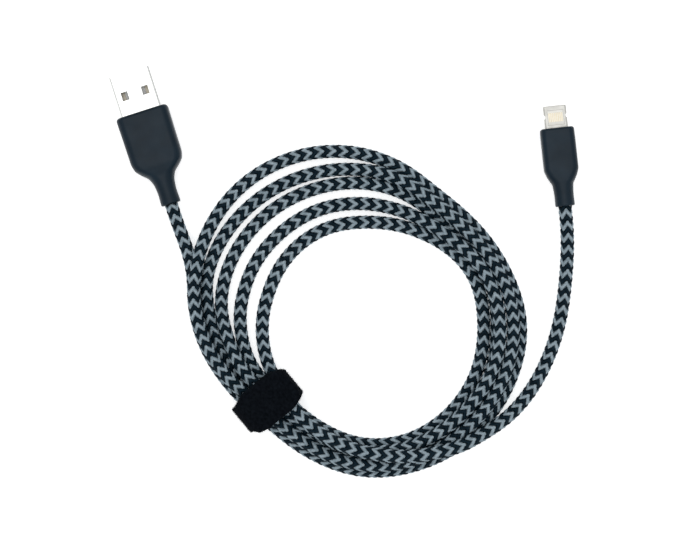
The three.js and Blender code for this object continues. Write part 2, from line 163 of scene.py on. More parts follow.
# The place and turn are those of the shoulder. Rows of an outline: distance behind the shoulder, half width,
# half thickness, edge radius. The mouth is the width, height and corner radius of the opening round the
# metal. The bend is how far behind the shoulder the neck's bend starts and ends, from the cable's end.
TYPE_A = {
    "place": (-64.5, 60.7, 4.0),
    "turn": 17.8,
    "outline": [
        (0, 7.0, 3.3, 1.9),
        (0.25, 7.45, 3.75, 2.2),
        (0.8, 7.7, 4.0, 2.4),
        (7.5, 7.6, 4.0, 2.4),
        (13.5, 7.55, 4.0, 2.4),
        (15.8, 7.1, 3.9, 2.6),
        (17.6, 5.7, 3.6, 2.9),
        (19.4, 3.9, 3.25, 3.1),
        (21.7, 3.05, 3.0, 3.0),
        (24.5, 2.8, 2.8, 2.8),
        (27.6, 2.9, 2.9, 2.9),
        (27.9, 2.75, 2.75, 2.75),
    ],
    "mouth": (12.1, 4.6, 0.58),
    "mouth_depth": 9.0,
    "bend": (27.6, 20.4),
}
EIGHT_PIN = {
    "place": (55.5, 56.1, 3.0),
    "turn": 6.3,
    "outline": [
        (0, 4.4, 2.5, 1.5),
        (0.25, 4.75, 2.85, 1.7),
        (0.7, 4.9, 3.0, 1.9),
        (5.0, 4.95, 3.0, 1.9),
        (11.7, 4.95, 3.0, 1.9),
        (13.8, 4.4, 2.95, 2.3),
        (15.4, 3.6, 2.9, 2.6),
        (16.5, 3.05, 2.85, 2.8),
        (20.0, 2.8, 2.8, 2.8),
        (22.4, 2.85, 2.85, 2.85),
        (22.7, 2.7, 2.7, 2.7),
    ],
    "mouth": (6.8, 1.6, 0.62),
    "mouth_depth": 0.9,
    "bend": (22.4, 16.2),
}

# ---------------------------------------------------------------- tie dimensions, as in the CAD

TIE = {
    "middle_radius": 35.6,
    "width": 10.5,
    "thick": 0.9,
    "inside_width": 16.2,
    "inside_bottom": 0.9,
    "inside_top": 9.3,
    "corner": 2.6,
    "hook_thick": 0.5,
    "tail_root": 1.6,
    "tail_hinge": 4.6,
    "tail_end": -8.6,
}

# The tie bulges on both sides of its tape and narrows again towards its ends and their tips. Each side has
# how much wider it is in the middle, and how much of that it loses at the outer and inner end and tip.
TIE_SIDES_MM = {
    -1: {"middle": 1.4, "outer_end": 1.4, "outer_tip": 0.3, "inner_end": 1.8, "inner_tip": 0.6},
    1: {"middle": 0.7, "outer_end": 0.8, "outer_tip": 1.5, "inner_end": 1.2, "inner_tip": 0.6},
}
# How far from its middle the tie starts to narrow, and over what distance.
TIE_NARROWS_MM = {"end": (4.0, 5.0), "tip": (7.4, 1.6)}

# ---------------------------------------------------------------- small helpers


def to_frame(points_mm):
    """Points in millimetres from the middle of the coil, as metres in the frame's axes."""
    points = np.asarray(points_mm, float) * MM
    points[..., 0] += COIL_CENTRE_MM[0] * MM
    points[..., 1] += COIL_CENTRE_MM[1] * MM
    return points


def turned(points_mm, place, turn):
    """Points in a plug's or the tie's own axes, turned about Z and moved to their place by the coil."""
    points = np.asarray(points_mm, float)
    c, s = math.cos(math.radians(turn)), math.sin(math.radians(turn))
    x = place[0] + c * points[..., 0] - s * points[..., 1]
    y = place[1] + s * points[..., 0] + c * points[..., 1]
    return np.stack([x, y, place[2] + points[..., 2]], axis=-1)


def placed(points_mm, place, turn):
    """The same, in the frame's axes and in metres."""
    return to_frame(turned(points_mm, place, turn))


def ease(x):
    """From 0 to 1 as x does, but starting and stopping gently."""
    x = np.clip(x, 0.0, 1.0)
    return x * x * (3 - 2 * x)


def cubic(at, keys, values, lean):
    """Values along smooth cubics that pass each key with the lean given there."""
    k = np.clip(np.searchsorted(keys, at, side="right") - 1, 0, len(keys) - 2)
    span = keys[k + 1] - keys[k]
    t = np.clip((at - keys[k]) / span, 0, 1)
    ends = values[k] * (1 + 2 * t) * (1 - t) ** 2 + values[k + 1] * t * t * (3 - 2 * t)
    return ends + span * (lean[k] * t * (1 - t) ** 2 - lean[k + 1] * t * t * (1 - t))


def hermite(at, keys, values):
    """Values eased through keys without overshooting them."""
    keys, values = np.asarray(keys, float), np.asarray(values, float)
    slopes = np.diff(values) / np.diff(keys)
    lean = np.zeros_like(values)
    before, after = slopes[:-1], slopes[1:]
    same = before * after > 0
    lean[1:-1][same] = 2 * before[same] * after[same] / (before[same] + after[same])
    return cubic(at, keys, values, lean)


def new_mesh(name, points, faces, smooth=True):
    """A new piece in the scene. Its faces may have different numbers of corners."""
    mesh = bpy.data.meshes.new(name)
    mesh.from_pydata(np.asarray(points).tolist(), [], [list(face) for face in faces])
    mesh.validate()
    if smooth:
        mesh.shade_smooth()
    piece = bpy.data.objects.new(name, mesh)
    bpy.context.scene.collection.objects.link(piece)
    return piece


def ring_faces(rings, count, closed=False):
    """Four-cornered faces that join rings of count points each."""
    last = rings if closed else rings - 1
    r, i = np.meshgrid(np.arange(last), np.arange(count), indexing="ij")
    n, j = (r + 1) % rings, (i + 1) % count
    return np.stack([r * count + i, r * count + j, n * count + j, n * count + i], axis=-1).reshape(-1, 4)


def rounded_points(half_width, half_height, radius, steps):
    """Points round a rounded rectangle, anticlockwise."""
    points = []
    for sx, sy, start in ((1, 1, 0), (-1, 1, 90), (-1, -1, 180), (1, -1, 270)):
        for i in range(steps + 1):
            a = math.radians(start + 90 * i / steps)
            points.append((
                sx * (half_width - radius) + radius * math.cos(a),
                sy * (half_height - radius) + radius * math.sin(a),
            ))
    return points


# ---------------------------------------------------------------- camera


def add_camera():
    """Straight above the middle of the picture, far enough off for the weak perspective it shows."""
    middle_mm = (-5.6, 14.0, 4.0)
    distance = 0.70
    view_width = 0.1997
    camera = bpy.data.cameras.new("camera")
    camera.sensor_width = 36.0
    camera.lens = camera.sensor_width * distance / view_width
    holder = bpy.data.objects.new("camera", camera)
    bpy.context.scene.collection.objects.link(holder)
    holder.location = Vector(to_frame(middle_mm)) + Vector((0, 0, distance))
    bpy.context.scene.camera = holder


# ---------------------------------------------------------------- the cable's route


def turn_profile(column, degrees):
    """One column of the turns' profile at any angle, smooth all the way round."""
    rows = np.array(TURN_PROFILE_MM, float)
    keys = np.concatenate([rows[:, 0] - 360, rows[:, 0], rows[:, 0] + 360])
    values = np.tile(rows[:, column], 3)
    return cubic(np.mod(degrees, 360.0), keys, values, np.gradient(values, keys))


def polar(points_mm):
    """Points as rows of angle round the coil in degrees, radius and height."""
    points = np.asarray(points_mm, float)
    angle = np.degrees(np.arctan2(points[:, 1], points[:, 0]))
    return np.stack([angle, np.hypot(points[:, 0], points[:, 1]), points[:, 2]], axis=1)


def neck_point(plug, further_in=0.0):
    """The end of a plug's neck, from the middle of the coil, or a point further in."""
    return turned([0.0, further_in - plug["outline"][-1][0], 0.0], plug["place"], plug["turn"])


def first_lead():
    """Rows of angle, radius and height from the type A plug's neck to where its lead joins the coil."""
    rows = polar([neck_point(TYPE_A), *TYPE_A_LEAD_MM])
    joins = [(angle, radius, 0.5 * CABLE_DIAMETER_MM) for angle, radius in LEAD_JOINS_MM]
    return np.vstack([rows, joins])


def last_lead():
    """Rows of angle, radius and height from the tie, over the bunch and on into the small plug's neck."""
    rows = polar([*EIGHT_PIN_LEAD_MM, neck_point(EIGHT_PIN, INTO_NECK_MM)])
    rows[:, 0] += 360
    crossing = [(angle, radius, 0.5 * CABLE_DIAMETER_MM) for angle, radius in CROSSING_MM]
    return np.vstack([crossing, rows])


def planned_radius(degrees):
    """Where each stretch of cable wants to lie: slot 0 is the innermost turn, and every turn moves one
    slot inward between the tie and the lower right. The last turn crosses over the others and leaves."""
    turn = np.floor((degrees - TIE_ANGLE) / 360.0)
    within = degrees - (TIE_ANGLE + 360 * turn)
    slot = np.where(turn < 0, TURNS, TURNS - turn - ease(within / SLOT_CHANGE_DEGREES))
    radius = turn_profile(1, degrees)
    for gap in range(TURNS):
        radius = radius + turn_profile(min(gap, TURNS - 2) + 2, degrees) * np.clip(slot - gap, 0, 1)
    lead = first_lead()
    lead_radius = hermite(degrees, lead[:, 0], lead[:, 1])
    share = ease((degrees - lead[-1, 0]) / (TIE_ANGLE - lead[-1, 0]))
    radius = np.where(degrees < TIE_ANGLE, (1 - share) * lead_radius + share * radius, radius)
    lead = last_lead()
    leaving = degrees - 360 * TURNS
    return np.where(leaving >= lead[0, 0], hermite(leaving, lead[:, 0], lead[:, 1]), radius)


def moved(move, degrees):
    """How much of a move between layers is done at an angle, from 0 to 1."""
    start, over = LAYER_MOVES_DEGREES[move]
    return ease((degrees - start) / over)


def planned_layer(degrees):
    """0 for a stretch that lies on the floor, 1 for one that lies on others and 2 for the crossing."""
    turn = np.clip(np.floor((degrees - LAYERS_START_DEGREES) / 360.0), 0, TURNS)
    local = degrees - 360 * turn
    layer = np.where(turn == TURNS, 2.0, turn % 2)
    climbed = np.where(turn == 1, moved("second_turn_climbs", local), moved("other_turns_climb", local))
    bunched = climbed * (1 - moved("turns_come_down", local))
    dips = (turn == 1) * moved("second_turn_dips", local) * (1 - moved("second_turn_rises", local))
    leans = (turn == 0) * moved("first_turn_leans", local) * (1 - moved("first_turn_lies_down", local))
    return layer * bunched * (1 - dips) + LEANING_LAYERS * leans


def settle(radius, height, floor, step):
    """Lets the turns sink under their weight, spring towards their planned radius and push each other
    apart until no two are closer than the cable is thick."""
    planned = radius.copy()
    ends = (radius[0], height[0], radius[-1], height[-1])
    thick = PRESSED_SHARE * CABLE_DIAMETER_MM
    lap = round(360 / step)
    rounds, pushes_a_round = 1200, 3
    pull, sink = 0.04, 0.05
    stiffness = ((radius, 0.22), (height, 0.30))
    for i in range(rounds):
        radius += pull * (planned - radius)
        height -= sink * (1 - i / rounds)
        for line, stiff in stiffness:
            line[1:-1] += stiff * (0.5 * (line[:-2] + line[2:]) - line[1:-1])
        for _ in range(pushes_a_round):
            for laps in range(1, TURNS + 1):
                near, far = slice(None, -lap * laps), slice(lap * laps, None)
                dr, dz = radius[far] - radius[near], height[far] - height[near]
                apart = np.hypot(dr, dz) + 1e-9
                push = 0.5 * np.clip(thick - apart, 0, None) / apart
                radius[far] += push * dr
                radius[near] -= push * dr
                height[far] += push * dz
                height[near] -= push * dz
            np.maximum(height, floor, out=height)
        radius[0], height[0], radius[-1], height[-1] = ends
    return radius, height


def cable_route():
    """The cable's centreline from the type A plug's neck to the small plug's, in millimetres."""
    first, last = first_lead(), last_lead()
    start, end = first[0, 0], last[-1, 0] + 360 * TURNS
    degrees = start + TURN_STEP_DEGREES * np.arange(math.ceil((end - start) / TURN_STEP_DEGREES))
    radius = planned_radius(degrees)
    smoothing_rounds = 8
    for _ in range(smoothing_rounds):
        radius[1:-1] = 0.25 * radius[:-2] + 0.5 * radius[1:-1] + 0.25 * radius[2:]
    lowest = 0.5 * CABLE_DIAMETER_MM
    height = lowest + LAYER_HEIGHT_MM * planned_layer(degrees)
    under_tie = np.exp(-(((np.mod(degrees, 360) - TIE_ANGLE) / TIE_REACH_DEGREES) ** 4))
    floor = lowest + TIE_LIFT_MM * under_tie
    floor = np.maximum(floor, hermite(degrees, first[:, 0], first[:, 2]))
    floor = np.maximum(floor, hermite(degrees - 360 * TURNS, last[:, 0], last[:, 2]))
    height = np.maximum(height, floor)
    height[0], height[-1] = first[0, 2], last[-1, 2]
    radius, height = settle(radius, height, floor, TURN_STEP_DEGREES)
    a = np.radians(degrees)
    coil = np.stack([radius * np.cos(a), radius * np.sin(a), height], axis=-1)
    return np.vstack([coil, neck_point(EIGHT_PIN, INTO_NECK_MM)])


def spaced(points, spacing):
    """The same line through points an even distance apart."""
    along = np.concatenate([[0], np.cumsum(np.linalg.norm(np.diff(points, axis=0), axis=1))])
    count = max(2, round(along[-1] / spacing) + 1)
    at = np.linspace(0, along[-1], count)
    return np.stack([np.interp(at, along, points[:, c]) for c in range(3)], axis=-1), at


def upright_frames(points):
    """At each point of a line, the direction nearest to up that is square to it, and the one to its right."""
    forward = np.gradient(points, axis=0)
    forward /= np.linalg.norm(forward, axis=1)[:, None]
    side = UP - forward * forward[:, 2:]
    side /= np.linalg.norm(side, axis=1)[:, None]
    return side, np.cross(forward, side)


# ---------------------------------------------------------------- braid

# Yarns are counted each way round, and the pitch is the length in which one goes once round the cable. The
# wave is how far it goes over and under the others, with flat tops and bottoms where its steepness is over 1.
# Yarns wound right lie a little higher, so that two of one colour never meet at the same height.
BRAID = {
    "yarns": 8,
    "pitch": 14.0,
    "middle_radius": 1.80,
    "wave": 0.10,
    "steepness": 1.7,
    "right_hand_lift": 0.02,
    "half_width": 0.60,
    "dome": 0.10,
    "edge_drop": 0.05,
    "samples": 26,
}

# The chevrons on top point forward along the cable in the half of the coil round this angle.
FORWARD_DEGREES = 311
FORWARD_SHARPNESS = 2.5
# The braid's roll wavers by these angles in radians, each as a sine with its length along the cable.
ROLL_WAVERS = ((0.08, 17.0), (0.07, 43.0))


def roll_at(line, along):
    """How far the braid is rolled about the cable, in radians. The chevrons on top point forward along the
    cable at the bottom and right of the coil and back at its top and left, and waver a little."""
    angle = np.arctan2(line[:, 1], line[:, 0])
    forward = ease(0.5 + FORWARD_SHARPNESS * np.cos(angle - math.radians(FORWARD_DEGREES)))
    waver = sum(size * np.sin(along / length) for size, length in ROLL_WAVERS)
    flip = 2 * math.pi / BRAID["yarns"]
    return flip * forward + waver


def yarn(hand, first_angle, line, side, across, along):
    """One flat yarn of the braid, wound right (hand 1) or left (hand -1), as points and faces."""
    turn = hand * 2 * math.pi * along / BRAID["pitch"] + first_angle
    over_two_under_two = np.sin(BRAID["yarns"] / 2 * turn)
    weave = np.clip(BRAID["steepness"] * over_two_under_two, -1, 1) * hand
    middle = BRAID["middle_radius"] + BRAID["wave"] * weave + BRAID["right_hand_lift"] * hand
    lead_angle = math.atan2(2 * math.pi * BRAID["middle_radius"], BRAID["pitch"])
    spread = BRAID["half_width"] / math.cos(lead_angle) / BRAID["middle_radius"]
    roll = roll_at(line, along)
    drop, dome = -BRAID["edge_drop"], BRAID["dome"]
    points = []
    for shift, lift in ((-1, drop), (0, dome), (1, drop), (0, -dome)):
        a = turn + roll + shift * spread
        r = middle + lift
        out = np.cos(a)[:, None] * side + np.sin(a)[:, None] * across
        points.append(line + r[:, None] * out)
    points = np.stack(points, axis=1).reshape(-1, 3)
    faces = ring_faces(len(along), 4)
    last = len(points) - 4
    caps = [[3, 2, 1, 0], [last, last + 1, last + 2, last + 3]]
    return points, np.concatenate([faces, caps])


def braid_pieces(route):
    """The braid's grey and black yarns, over and under each other round the whole cable."""
    spacing = BRAID["pitch"] / BRAID["samples"]
    line, along = spaced(route, spacing)
    side, across = upright_frames(line)
    pieces = []
    for colour, offset in (("grey", 0), ("black", 1)):
        all_points, all_faces, start = [], [], 0
        for hand in (1, -1):
            for i in range(offset, BRAID["yarns"], 2):
                first_angle = 2 * math.pi * i / BRAID["yarns"]
                points, faces = yarn(hand, first_angle, line, side, across, along)
                all_points.append(points)
                all_faces.append(faces + start)
                start += len(points)
        points = to_frame(np.concatenate(all_points))
        piece = new_mesh(f"cable_braid_{colour}", points, np.concatenate(all_faces))
        # ridge is 1 along each yarn's top and 0 at its edges and underside, where the yarn materials paint
        # shade.
        ridge = np.tile([0.0, 1.0, 0.0, 0.0], len(points) // 4)
        attribute = piece.data.attributes.new("ridge", "FLOAT", "POINT")
        attribute.data.foreach_set("value", ridge)
        pieces.append(piece)
    return pieces


def jacket_piece(route):
    """The dark jacket under the braid, and the line down its middle in the frame's axes."""
    sides, spacing = 12, 2.0
    line, _ = spaced(route, spacing)
    side, across = upright_frames(line)
    a = 2 * math.pi * np.arange(sides) / sides
    out = np.cos(a)[None, :, None] * side[:, None] + np.sin(a)[None, :, None] * across[:, None]
    points = (line[:, None] + JACKET_RADIUS_MM * out).reshape(-1, 3)
    faces = ring_faces(len(line), sides)
    piece = new_mesh("cable_jacket", to_frame(points), faces)
    return piece, to_frame(line)


# ---------------------------------------------------------------- plugs' moulded grips


def outline_rings(rows, count, corner_steps):
    """Rings along a plug's moulding from its rows, close enough together to look smooth."""
    rows = np.array(rows, float)
    at = np.unique(np.concatenate([np.linspace(rows[0, 0], rows[-1, 0], count), rows[:, 0]]))
    rings = []
    for behind in at:
        half_width, half_thick, radius = (
            float(hermite(behind, rows[:, 0], rows[:, c])) for c in (1, 2, 3)
        )
        edge = min(radius, half_width - 0.01, half_thick - 0.01)
        section = rounded_points(half_width, half_thick, edge, corner_steps)
        rings.append([(x, -behind, z) for x, z in section])
    return rings


def grip_piece(name, plug):
    """The grip and its neck as one skin, with a mouth round the metal and a bore round the cable."""
    steps, outside_rings = 9, 70
    lip_depth, bore_flare_depth, step_depth = 0.12, 0.1, 1.2
    bore_radius, bore_corner = 2.06, 2.05
    mouth_flare, bore_flare = (1.012, 1.02), 1.05
    outside = outline_rings(plug["outline"], outside_rings, steps)
    width, height, corner = plug["mouth"]
    mouth = rounded_points(width / 2, height / 2, corner, steps)
    front = [[(x * mouth_flare[0], 0.0, z * mouth_flare[1]) for x, z in mouth]]
    inside = [[(x, -d, z) for x, z in mouth] for d in (lip_depth, plug["mouth_depth"])]
    length = plug["outline"][-1][0]
    bore = rounded_points(bore_radius, bore_radius, bore_corner, steps)
    bore_depths = (plug["mouth_depth"] + step_depth, length - bore_flare_depth)
    middle = [[(x, -d, z) for x, z in bore] for d in bore_depths]
    back = [[(x * bore_flare, -length, z * bore_flare) for x, z in bore]]
    rings = outside + back + middle[::-1] + inside[::-1] + front
    points = placed(rings, plug["place"], plug["turn"]).reshape(-1, 3)
    return new_mesh(name, points, ring_faces(len(rings), len(mouth), closed=True))


def on_axis(plug, behind):
    """A point on a plug's middle line, that far behind its shoulder."""
    return tuple(placed([0.0, -behind, 0.0], plug["place"], plug["turn"]))


def add_grips():
    """Both grips, each built with its neck in place of the CAD grip, neck and cable end, which are hidden."""
    type_a = grip_piece("type_a_moulding", TYPE_A)
    start, end = (on_axis(TYPE_A, behind) for behind in TYPE_A["bend"])
    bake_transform(type_a)
    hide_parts("type_a_grip", "type_a_neck", "type_a_cable_end")
    eight = grip_piece("eight_pin_moulding", EIGHT_PIN)
    start, end = (on_axis(EIGHT_PIN, behind) for behind in EIGHT_PIN["bend"])
    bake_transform(eight)
    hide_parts("eight_pin_grip", "eight_pin_neck", "eight_pin_cable_end")
    return type_a, eight


# ---------------------------------------------------------------- tie


def side_growth(x):
    """How much further out than its tape the tie reaches on each side, at x across the bundle."""
    shares = {}
    for part, (start, over) in TIE_NARROWS_MM.items():
        shares["outer_" + part] = float(ease((x - start) / over))
        shares["inner_" + part] = float(ease((-x - start) / over))
    return {
        hand: side["middle"] - sum(side[part] * share for part, share in shares.items())
        for hand, side in TIE_SIDES_MM.items()
    }


def strip_mesh(path, width, thick, closed, round_end=False):
    """A strap of about the given width along Y that follows a path of (x, z) points, with a soft edge."""
    path = np.asarray(path, float)
    tangent = np.gradient(path, axis=0)
    if closed:
        tangent = (np.roll(path, -1, axis=0) - np.roll(path, 1, axis=0)) / 2
    tangent /= np.linalg.norm(tangent, axis=1)[:, None]
    normal = np.stack([-tangent[:, 1], tangent[:, 0]], axis=1)
    edge_radius, corner_steps = min(0.35, thick * 0.45), 3
    section = rounded_points(width / 2, thick / 2, edge_radius, corner_steps)
    end_radius = 1.6
    along = np.concatenate([[0], np.cumsum(np.linalg.norm(np.diff(path, axis=0), axis=1))])
    rings = []
    for i, (x, z) in enumerate(path):
        narrow = 0.0
        if round_end:
            left = min(1.0, (along[-1] - along[i]) / end_radius)
            narrow = end_radius * (1 - math.sqrt(max(0.0, 1 - (1 - left) ** 2)))
        wider = side_growth(x)
        ring = []
        for y, h in section:
            hand = -1 if y < 0 else 1
            reach = max(0.0, abs(y) + wider[hand] - narrow)
            ring.append((x + normal[i, 0] * h, hand * reach, z + normal[i, 1] * h))
        rings.append(ring)
    points = np.array(rings).reshape(-1, 3)
    count = len(section)
    faces = ring_faces(len(path), count, closed).tolist()
    if not closed:
        last = len(points) - count
        faces.append(list(range(count))[::-1])
        faces.append(list(range(last, last + count)))
    return points, faces


# A loop of the tie's pile leans as it rises and then turns down: shares of its height, outwards and sideways.
PILE_LOOP = ((-0.2, 0.0), (0.45, 0.10), (0.85, 0.45), (1.0, 0.95), (0.7, 1.3))
PILE = {"loops": 3000, "length": 0.30, "yarn_radius": 0.022}


def pile(points, faces, seed):
    """Short curly loops of three-sided yarn standing out of a surface, as points and faces to add to it."""
    amount, thin = PILE["loops"], PILE["yarn_radius"]
    rng = np.random.default_rng(seed)
    quads = np.array([f for f in faces if len(f) == 4])
    corners = points[quads]
    normal = np.cross(corners[:, 2] - corners[:, 0], corners[:, 3] - corners[:, 1])
    area = np.linalg.norm(normal, axis=1)
    normal /= np.maximum(area, 1e-12)[:, None]
    picked = rng.choice(len(quads), size=amount, p=area / area.sum())
    u, v = rng.random((2, amount, 1))
    c = corners[picked]
    root = (c[:, 0] * (1 - u) + c[:, 1] * u) * (1 - v) + (c[:, 3] * (1 - u) + c[:, 2] * u) * v
    out = normal[picked]
    lean = rng.normal(size=(amount, 3))
    lean -= out * (lean * out).sum(axis=1)[:, None]
    lean /= np.linalg.norm(lean, axis=1)[:, None]
    flat = np.cross(out, lean)
    tall = PILE["length"] * rng.uniform(0.4, 1.0, size=(amount, 1))
    rings = []
    for share, sideways in PILE_LOOP:
        middle = root + out * tall * share + lean * tall * sideways
        rings += [middle + flat * thin, middle - flat * thin, middle + (out + lean) * thin]
    made = np.stack(rings, axis=1).reshape(-1, 3)
    loop_points = 3 * len(PILE_LOOP)
    start = loop_points * np.arange(amount)[:, None, None]
    sides = (start + ring_faces(len(PILE_LOOP), 3)[None]).reshape(-1, 4).tolist()
    ends = np.array([[2, 1, 0], [loop_points - 3, loop_points - 2, loop_points - 1]])
    caps = (start + ends[None]).reshape(-1, 3).tolist()
    return made, sides + caps


def on_tie(points_mm):
    """Points in the tie's own axes, X outward across the bundle, as metres in the frame's axes."""
    angle = math.radians(TIE_ANGLE)
    place = (TIE["middle_radius"] * math.cos(angle), TIE["middle_radius"] * math.sin(angle), 0.0)
    return placed(points_mm, place, TIE_ANGLE)


def tie_piece(name, path, seed, closed, round_end=False):
    """A length of the tie's tape with its pile."""
    points, faces = strip_mesh(path, TIE["width"], TIE["thick"], closed, round_end)
    fibres, fibre_faces = pile(points, faces, seed)
    count = len(points)
    all_faces = faces + [[i + count for i in face] for face in fibre_faces]
    piece = new_mesh(name, on_tie(np.concatenate([points, fibres])), all_faces)
    return piece


def band_path():
    """The middle of the band's tape, as (x, z) points an even distance apart round the bundle."""
    middle = (TIE["inside_bottom"] + TIE["inside_top"]) / 2
    half_height = (TIE["inside_top"] - TIE["inside_bottom"] + TIE["thick"]) / 2
    half_width = (TIE["inside_width"] + TIE["thick"]) / 2
    corner = TIE["corner"] + TIE["thick"] / 2
    corner_steps, rings = 8, 96
    outline = rounded_points(half_width, half_height, corner, corner_steps)
    points = np.array([(x, middle + z) for x, z in outline])
    closed = np.vstack([points, points[:1]])
    along = np.concatenate([[0], np.cumsum(np.linalg.norm(np.diff(closed, axis=0), axis=1))])
    at = np.linspace(0, along[-1], rings + 1)[:-1]
    return np.stack([np.interp(at, along, closed[:, c]) for c in (0, 1)], axis=1)


def tail_path():
    """The middle of the tail's tape: up the outside of the band, round its corner and back over its top."""
    side_gap, top_gap = 0.05, 0.1
    side_rings, corner_rings, top_rings = 14, 12, 26
    half = TIE["thick"] / 2
    side = TIE["inside_width"] / 2 + TIE["thick"] + side_gap + half
    top = TIE["inside_top"] + TIE["thick"] + TIE["hook_thick"] + top_gap + half
    bend = TIE["corner"] + TIE["thick"] + half
    points = [(side, z) for z in np.linspace(TIE["tail_root"], top - bend, side_rings)]
    for a in np.linspace(0, math.pi / 2, corner_rings)[1:]:
        points.append((side - bend + bend * math.cos(a), top - bend + bend * math.sin(a)))
    points += [(x, top) for x in np.linspace(side - bend, TIE["tail_end"], top_rings)[1:]]
    return points


def add_tie():
    """The tie's band, which stays on the cable, and its tail, laid up the band's side and back over its top.
    """
    band = tie_piece("tie_band", band_path(), seed=11, closed=True)
    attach(band, "cable")
    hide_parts("strap_band")
    tail = tie_piece("tie_tail_strip", tail_path(), seed=12, closed=False, round_end=True)
    side = TIE["inside_width"] / 2 + 2 * TIE["thick"]
    half_bend = 1.4
    start = tuple(on_tie([side, 0.0, TIE["tail_hinge"] - half_bend]))
    end = tuple(on_tie([side, 0.0, TIE["tail_hinge"] + half_bend]))
    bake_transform(tail)
    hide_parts("strap_tail")
    return band, tail


# ---------------------------------------------------------------- materials


class Nodes:
    """A material's node tree, with short calls to add and join nodes."""

    def __init__(self, name):
        self.material = bpy.data.materials.new(name)
        self.material.use_nodes = True
        self.tree = self.material.node_tree
        self.shader = self.tree.nodes["Principled BSDF"]

    def add(self, kind, **settings):
        node = self.tree.nodes.new(kind)
        for key, value in settings.items():
            setattr(node, key, value)
        return node

    def join(self, out, into):
        self.tree.links.new(out, into)

    def place(self):
        return self.add("ShaderNodeTexCoord").outputs["Object"]

    def noise(self, scale, detail=3.0, stretch=None):
        texture = self.add("ShaderNodeTexNoise")
        texture.inputs["Scale"].default_value = scale
        texture.inputs["Detail"].default_value = detail
        source = self.place()
        if stretch:
            mapping = self.add("ShaderNodeMapping")
            mapping.inputs["Scale"].default_value = stretch
            self.join(source, mapping.inputs["Vector"])
            source = mapping.outputs["Vector"]
        self.join(source, texture.inputs["Vector"])
        return texture.outputs["Fac"]

    def ramp(self, value, low, high, start=0.3, end=0.7):
        ramp = self.add("ShaderNodeValToRGB")
        ramp.color_ramp.elements[0].position = start
        ramp.color_ramp.elements[1].position = end
        ramp.color_ramp.elements[0].color = (*low, 1)
        ramp.color_ramp.elements[1].color = (*high, 1)
        self.join(value, ramp.inputs["Fac"])
        return ramp.outputs["Color"]

    def scalar(self, value, low, high):
        spread = self.add("ShaderNodeMapRange")
        spread.inputs["From Min"].default_value = 0.25
        spread.inputs["From Max"].default_value = 0.75
        spread.inputs["To Min"].default_value = low
        spread.inputs["To Max"].default_value = high
        self.join(value, spread.inputs["Value"])
        return spread.outputs["Result"]

    def bump(self, value, strength, distance):
        bump = self.add("ShaderNodeBump")
        bump.inputs["Strength"].default_value = strength
        bump.inputs["Distance"].default_value = distance
        self.join(value, bump.inputs["Height"])
        self.join(bump.outputs["Normal"], self.shader.inputs["Normal"])

    def colour(self, socket):
        self.join(socket, self.shader.inputs["Base Color"])

    def rough(self, socket):
        self.join(socket, self.shader.inputs["Roughness"])

    def set(self, **values):
        for key, value in values.items():
            self.shader.inputs[key.replace("_", " ")].default_value = value


def yarn_material(name, shade, light):
    """Mottled yarn, with painted shade that darkens it towards its edges and underside."""
    nodes = Nodes(name)
    ridge = nodes.add("ShaderNodeAttribute", attribute_name="ridge").outputs["Fac"]
    mottled = nodes.ramp(nodes.noise(900.0, 4.0), shade, light)
    edge = nodes.add("ShaderNodeMix", data_type="RGBA", blend_type="MULTIPLY")
    edge.inputs["Factor"].default_value = 1.0
    nodes.join(mottled, edge.inputs["A"])
    # Painted shade: the colour is darkened to 0.62 towards the yarn's edges and underside, where it dips
    # under its neighbours.
    painted_edge_shade = nodes.ramp(ridge, (0.62, 0.64, 0.66), (1.0, 1.0, 1.0), 0.0, 0.3)
    nodes.join(painted_edge_shade, edge.inputs["B"])
    nodes.colour(edge.outputs["Result"])
    nodes.set(Roughness=0.78, Specular_IOR_Level=0.10)
    nodes.bump(nodes.noise(3200.0, 2.0), 0.5, 0.00006)
    return nodes.material


def jacket_material():
    nodes = Nodes("cable jacket")
    nodes.colour(nodes.ramp(nodes.noise(500.0), (0.004, 0.005, 0.007), (0.010, 0.012, 0.015)))
    nodes.set(Roughness=0.7)
    return nodes.material


def moulding_material():
    """Matt black soft plastic with a very fine spark-eroded grain and a faint cloudiness."""
    nodes = Nodes("soft moulding")
    nodes.colour(nodes.ramp(nodes.noise(160.0, 5.0), (0.0008, 0.0088, 0.0172), (0.003, 0.0145, 0.0265)))
    nodes.rough(nodes.scalar(nodes.noise(260.0, 4.0), 0.34, 0.46))
    nodes.bump(nodes.noise(5200.0, 3.0), 0.35, 0.00004)
    nodes.set(Specular_IOR_Level=0.22)
    return nodes.material


def strap_material():
    nodes = Nodes("hook-and-loop tape")
    nodes.colour(nodes.ramp(nodes.noise(1400.0, 5.0), (0.002, 0.0028, 0.0042), (0.0055, 0.0075, 0.0105)))
    nodes.set(Roughness=1.0, Specular_IOR_Level=0.04)
    nodes.bump(nodes.noise(2600.0, 4.0), 0.8, 0.00015)
    return nodes.material


def metal_material(name, low, high, rough_low, rough_high, grain=(1.0, 1.0, 1.0)):
    """Metal with faint marks, drawn out along one axis where the grain is uneven."""
    nodes = Nodes(name)
    nodes.colour(nodes.ramp(nodes.noise(240.0, 4.0), low, high))
    nodes.set(Metallic=1.0)
    nodes.rough(nodes.scalar(nodes.noise(900.0, 4.0, grain), rough_low, rough_high))
    nodes.bump(nodes.noise(1800.0, 2.0, grain), 0.04, 0.00002)
    return nodes.material


def plastic_material(name, low, high):
    """Plain moulded plastic with a fine grain."""
    rough = 0.45
    nodes = Nodes(name)
    nodes.colour(nodes.ramp(nodes.noise(700.0, 3.0), low, high))
    nodes.rough(nodes.scalar(nodes.noise(1190.0, 2.0), rough * 0.85, rough * 1.15))
    nodes.bump(nodes.noise(2800.0, 2.0), 0.12, 0.00003)
    return nodes.material


